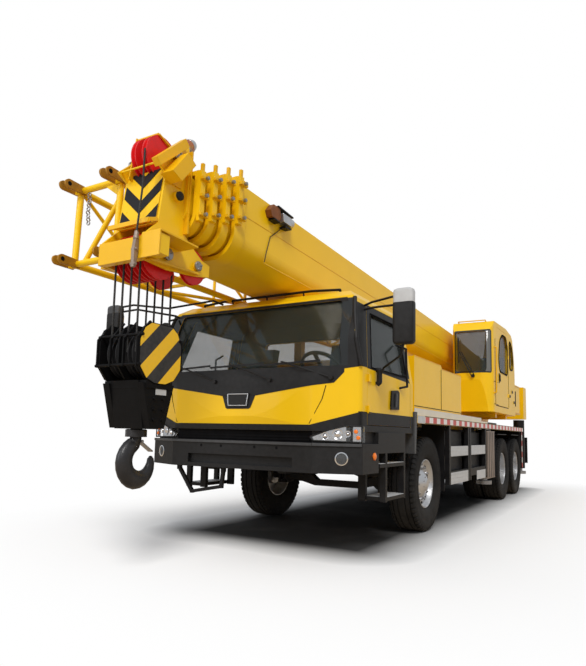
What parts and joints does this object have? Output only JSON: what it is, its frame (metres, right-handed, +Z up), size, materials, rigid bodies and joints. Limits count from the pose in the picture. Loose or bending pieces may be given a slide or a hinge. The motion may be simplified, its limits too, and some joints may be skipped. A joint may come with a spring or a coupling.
{
  "type": "truck crane",
  "caption": "Mobile crane on a truck chassis: telescopic boom with hook block and lattice jib, slewing superstructure, outriggers, steered front axle, stowed for the road",
  "frame": {"origin": "on the ground, midway along the length and on the centre line", "axes": "+X forward along the crane, +Y to the crane's left, +Z up"},
  "size_m": [11.6014, 3.38, 3.5148],
  "materials": {
    "yellow": "gloss",
    "dark_grey": "satin",
    "black": "satin",
    "red": "satin",
    "steel": "brushed",
    "chrome": "polished",
    "silver": "satin",
    "iron": "rough",
    "tyre": "matte",
    "glass": "polished",
    "lamp": "polished",
    "trim": "matte"
  },
  "bodies": {
    "chassis": {"frame": "dark_grey", "deck": "yellow", "engine": "iron", "engine_hood": "yellow", "cab_shell": "yellow", "cab_glass": "glass", "cab_interior": "trim", "headlamps": "lamp", "bumpers": "yellow", "mirror_right": "black", "steps": "black", "mudguards": "black", "side_tanks": "dark_grey", "front_axle": "dark_grey", "rear_axles": "dark_grey"},
    "cab_door_left": {"cab_door_left": "yellow", "cab_door_glass_left": "glass", "mirror_left": "black"},
    "cab_door_right": {"cab_door_right": "yellow", "cab_door_glass_right": "glass"},
    "knuckle_left": {"knuckle_left": "iron"},
    "knuckle_right": {"knuckle_right": "iron"},
    "front_wheel_left": {"front_tyre_left": "tyre", "front_rim_left": "silver"},
    "front_wheel_right": {"front_tyre_right": "tyre", "front_rim_right": "silver"},
    "second_wheels_left": {"second_tyres_left": "tyre", "second_rims_left": "silver"},
    "second_wheels_right": {"second_tyres_right": "tyre", "second_rims_right": "silver"},
    "third_wheels_left": {"third_tyres_left": "tyre", "third_rims_left": "silver"},
    "third_wheels_right": {"third_tyres_right": "tyre", "third_rims_right": "silver"},
    "superstructure": {"turntable": "yellow", "counterweight": "yellow", "operator_cab_shell": "yellow", "operator_cab_glass": "glass", "operator_seat": "trim"},
    "operator_door": {"operator_cab_door": "yellow", "operator_door_glass": "glass"},
    "boom_base": {"boom_base_section": "yellow", "lattice_jib": "yellow"},
    "boom_second": {"boom_second_section": "yellow"},
    "boom_third": {"boom_third_section": "yellow"},
    "boom_fourth": {"boom_fourth_section": "yellow"},
    "boom_fifth": {"boom_fifth_section": "yellow", "head_sheaves": "red"},
    "hook_block": {"hook_block": "yellow"},
    "hook": {"hook": "iron"},
    "luffing_barrel": {"luffing_barrel": "yellow"},
    "luffing_rod": {"luffing_rod": "chrome"},
    "outrigger_beam_front_left": {"outrigger_beam_front_left": "yellow"},
    "outrigger_jack_front_left": {"outrigger_jack_front_left": "steel"},
    "outrigger_beam_front_right": {"outrigger_beam_front_right": "yellow"},
    "outrigger_jack_front_right": {"outrigger_jack_front_right": "steel"},
    "outrigger_beam_rear_left": {"outrigger_beam_rear_left": "yellow"},
    "outrigger_jack_rear_left": {"outrigger_jack_rear_left": "steel"},
    "outrigger_beam_rear_right": {"outrigger_beam_rear_right": "yellow"},
    "outrigger_jack_rear_right": {"outrigger_jack_rear_right": "steel"}
  },
  "joints": [
    {"name": "cab_door_left_hinge", "type": "hinge", "parent": "chassis", "child": "cab_door_left", "pos_m": [3.9, 1.243, 1.9], "axis": [0, 0, -1], "range_deg": [0, 70]},
    {"name": "cab_door_right_hinge", "type": "hinge", "parent": "chassis", "child": "cab_door_right", "pos_m": [3.9, -1.243, 1.9], "axis": [0, 0, 1], "range_deg": [0, 70]},
    {"name": "steer_left", "type": "hinge", "parent": "chassis", "child": "knuckle_left", "pos_m": [1.95, 0.8, 0.56], "axis": [0, 0, 1], "range_deg": [-33, 33]},
    {"name": "steer_right", "type": "hinge", "parent": "chassis", "child": "knuckle_right", "pos_m": [1.95, -0.8, 0.56], "axis": [0, 0, 1], "range_deg": [-33, 33]},
    {"name": "front_wheel_left_spin", "type": "hinge", "parent": "knuckle_left", "child": "front_wheel_left", "pos_m": [1.95, 1.037, 0.56], "axis": [0, 1, 0], "continuous": true},
    {"name": "front_wheel_right_spin", "type": "hinge", "parent": "knuckle_right", "child": "front_wheel_right", "pos_m": [1.95, -1.037, 0.56], "axis": [0, 1, 0], "continuous": true},
    {"name": "second_wheels_left_spin", "type": "hinge", "parent": "chassis", "child": "second_wheels_left", "pos_m": [-2.475, 0.917, 0.56], "axis": [0, 1, 0], "continuous": true},
    {"name": "second_wheels_right_spin", "type": "hinge", "parent": "chassis", "child": "second_wheels_right", "pos_m": [-2.475, -0.917, 0.56], "axis": [0, 1, 0], "continuous": true},
    {"name": "third_wheels_left_spin", "type": "hinge", "parent": "chassis", "child": "third_wheels_left", "pos_m": [-3.825, 0.917, 0.56], "axis": [0, 1, 0], "continuous": true},
    {"name": "third_wheels_right_spin", "type": "hinge", "parent": "chassis", "child": "third_wheels_right", "pos_m": [-3.825, -0.917, 0.56], "axis": [0, 1, 0], "continuous": true},
    {"name": "outrigger_front_left_out", "type": "slide", "parent": "chassis", "child": "outrigger_beam_front_left", "axis": [0, 1, 0], "range_m": [0, 1.75]},
    {"name": "jack_front_left_down", "type": "slide", "parent": "outrigger_beam_front_left", "child": "outrigger_jack_front_left", "axis": [0, 0, -1], "range_m": [0, 0.5]},
    {"name": "outrigger_front_right_out", "type": "slide", "parent": "chassis", "child": "outrigger_beam_front_right", "axis": [0, -1, 0], "range_m": [0, 1.75]},
    {"name": "jack_front_right_down", "type": "slide", "parent": "outrigger_beam_front_right", "child": "outrigger_jack_front_right", "axis": [0, 0, -1], "range_m": [0, 0.5]},
    {"name": "outrigger_rear_left_out", "type": "slide", "parent": "chassis", "child": "outrigger_beam_rear_left", "axis": [0, 1, 0], "range_m": [0, 1.75]},
    {"name": "jack_rear_left_down", "type": "slide", "parent": "outrigger_beam_rear_left", "child": "outrigger_jack_rear_left", "axis": [0, 0, -1], "range_m": [0, 0.5]},
    {"name": "outrigger_rear_right_out", "type": "slide", "parent": "chassis", "child": "outrigger_beam_rear_right", "axis": [0, -1, 0], "range_m": [0, 1.75]},
    {"name": "jack_rear_right_down", "type": "slide", "parent": "outrigger_beam_rear_right", "child": "outrigger_jack_rear_right", "axis": [0, 0, -1], "range_m": [0, 0.5]},
    {"name": "slew", "type": "hinge", "parent": "chassis", "child": "superstructure", "pos_m": [-2.9, 0, 1.4], "axis": [0, 0, 1], "continuous": true},
    {"name": "operator_door_hinge", "type": "hinge", "parent": "superstructure", "child": "operator_door", "pos_m": [-3, 1.258, 2.4], "axis": [0, 0, 1], "range_deg": [0, 90]},
    {"name": "boom_luff", "type": "hinge", "parent": "superstructure", "child": "boom_base", "pos_m": [-4.9, 0, 2.56], "axis": [0, -1, 0], "range_deg": [0, 78]},
    {"name": "boom_second_out", "type": "slide", "parent": "boom_base", "child": "boom_second", "axis": [0.9995, 0, 0.0332], "range_m": [0, 7.4]},
    {"name": "boom_third_out", "type": "slide", "parent": "boom_second", "child": "boom_third", "axis": [0.9995, 0, 0.0332], "range_m": [0, 7.4]},
    {"name": "boom_fourth_out", "type": "slide", "parent": "boom_third", "child": "boom_fourth", "axis": [0.9995, 0, 0.0332], "range_m": [0, 7.4]},
    {"name": "boom_fifth_out", "type": "slide", "parent": "boom_fourth", "child": "boom_fifth", "axis": [0.9995, 0, 0.0332], "range_m": [0, 7.4]},
    {"name": "hook_block_swing", "type": "hinge", "parent": "boom_fifth", "child": "hook_block", "pos_m": [5.54802, 0, 2.49137], "axis": [0, -1, 0], "range_deg": [-78, 0]},
    {"name": "hook_swivel", "type": "hinge", "parent": "hook_block", "child": "hook", "pos_m": [5.54802, 0, 1.1], "axis": [0, 0, 1], "continuous": true},
    {"name": "luffing_barrel_foot", "type": "hinge", "parent": "superstructure", "child": "luffing_barrel", "pos_m": [-4, 0, 1.66], "axis": [0, -1, 0], "range_deg": [0, 78]},
    {"name": "luffing_rod_out", "type": "slide", "parent": "luffing_barrel", "child": "luffing_rod", "axis": [0.9701, 0, 0.2425], "range_m": [0, 1.68]}
  ],
  "couplings": [
    {"joint": "steer_right", "follows": "steer_left", "ratio": 1},
    {"joint": "boom_third_out", "follows": "boom_second_out", "ratio": 1},
    {"joint": "boom_fourth_out", "follows": "boom_second_out", "ratio": 1},
    {"joint": "boom_fifth_out", "follows": "boom_second_out", "ratio": 1},
    {"joint": "hook_block_swing", "follows": "boom_luff", "ratio": -1},
    {"joint": "luffing_barrel_foot", "follows": "boom_luff", "ratio": 0.98},
    {"joint": "luffing_rod_out", "follows": "boom_luff", "m_per_rad": 1.229}
  ]
}
